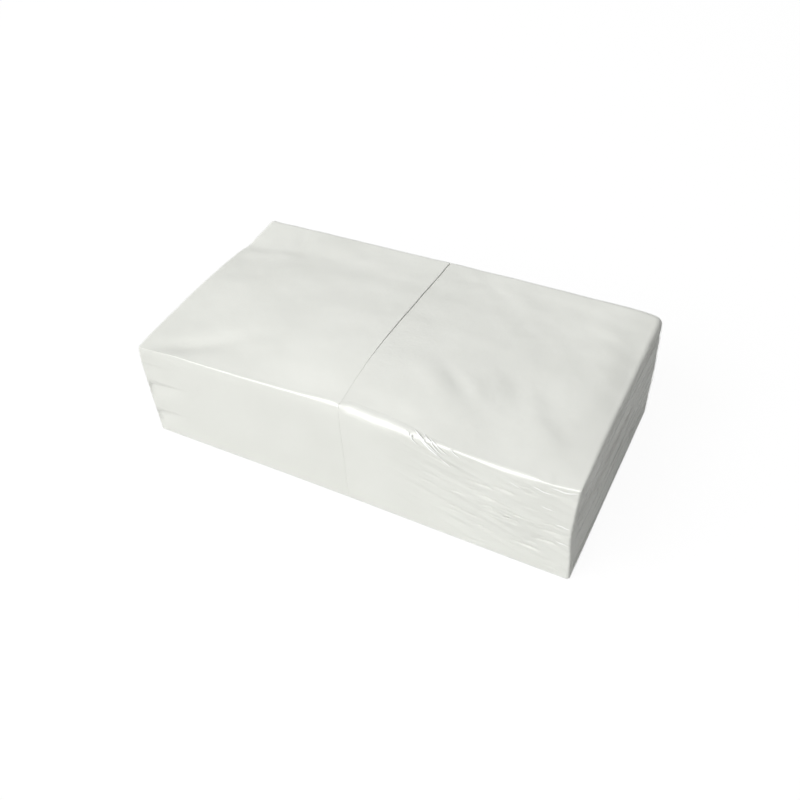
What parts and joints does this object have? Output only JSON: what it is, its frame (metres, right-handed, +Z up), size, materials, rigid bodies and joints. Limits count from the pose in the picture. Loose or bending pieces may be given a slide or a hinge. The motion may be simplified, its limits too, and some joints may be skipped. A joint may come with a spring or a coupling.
{
  "type": "paper napkin pack",
  "caption": "Pack of folded white paper napkins: side-by-side stacks drawn together in one tight wrapper of clear film, with a seam under the base and folded ends.",
  "frame": {"origin": "middle of the base, on the surface the pack lies on", "axes": "+X along the pack from the left stack to the right stack, +Y from the front to the back, +Z up"},
  "size_m": [0.2368, 0.126, 0.069],
  "materials": {
    "napkin_paper": "soft white crepe tissue",
    "clear_film": "clear, glossy, drawn tight with fine creases"
  },
  "bodies": {
    "root": {"napkin_stack_left": "napkin_paper", "napkin_stack_right": "napkin_paper", "film_wrap": "clear_film"}
  },
  "joints": []
}
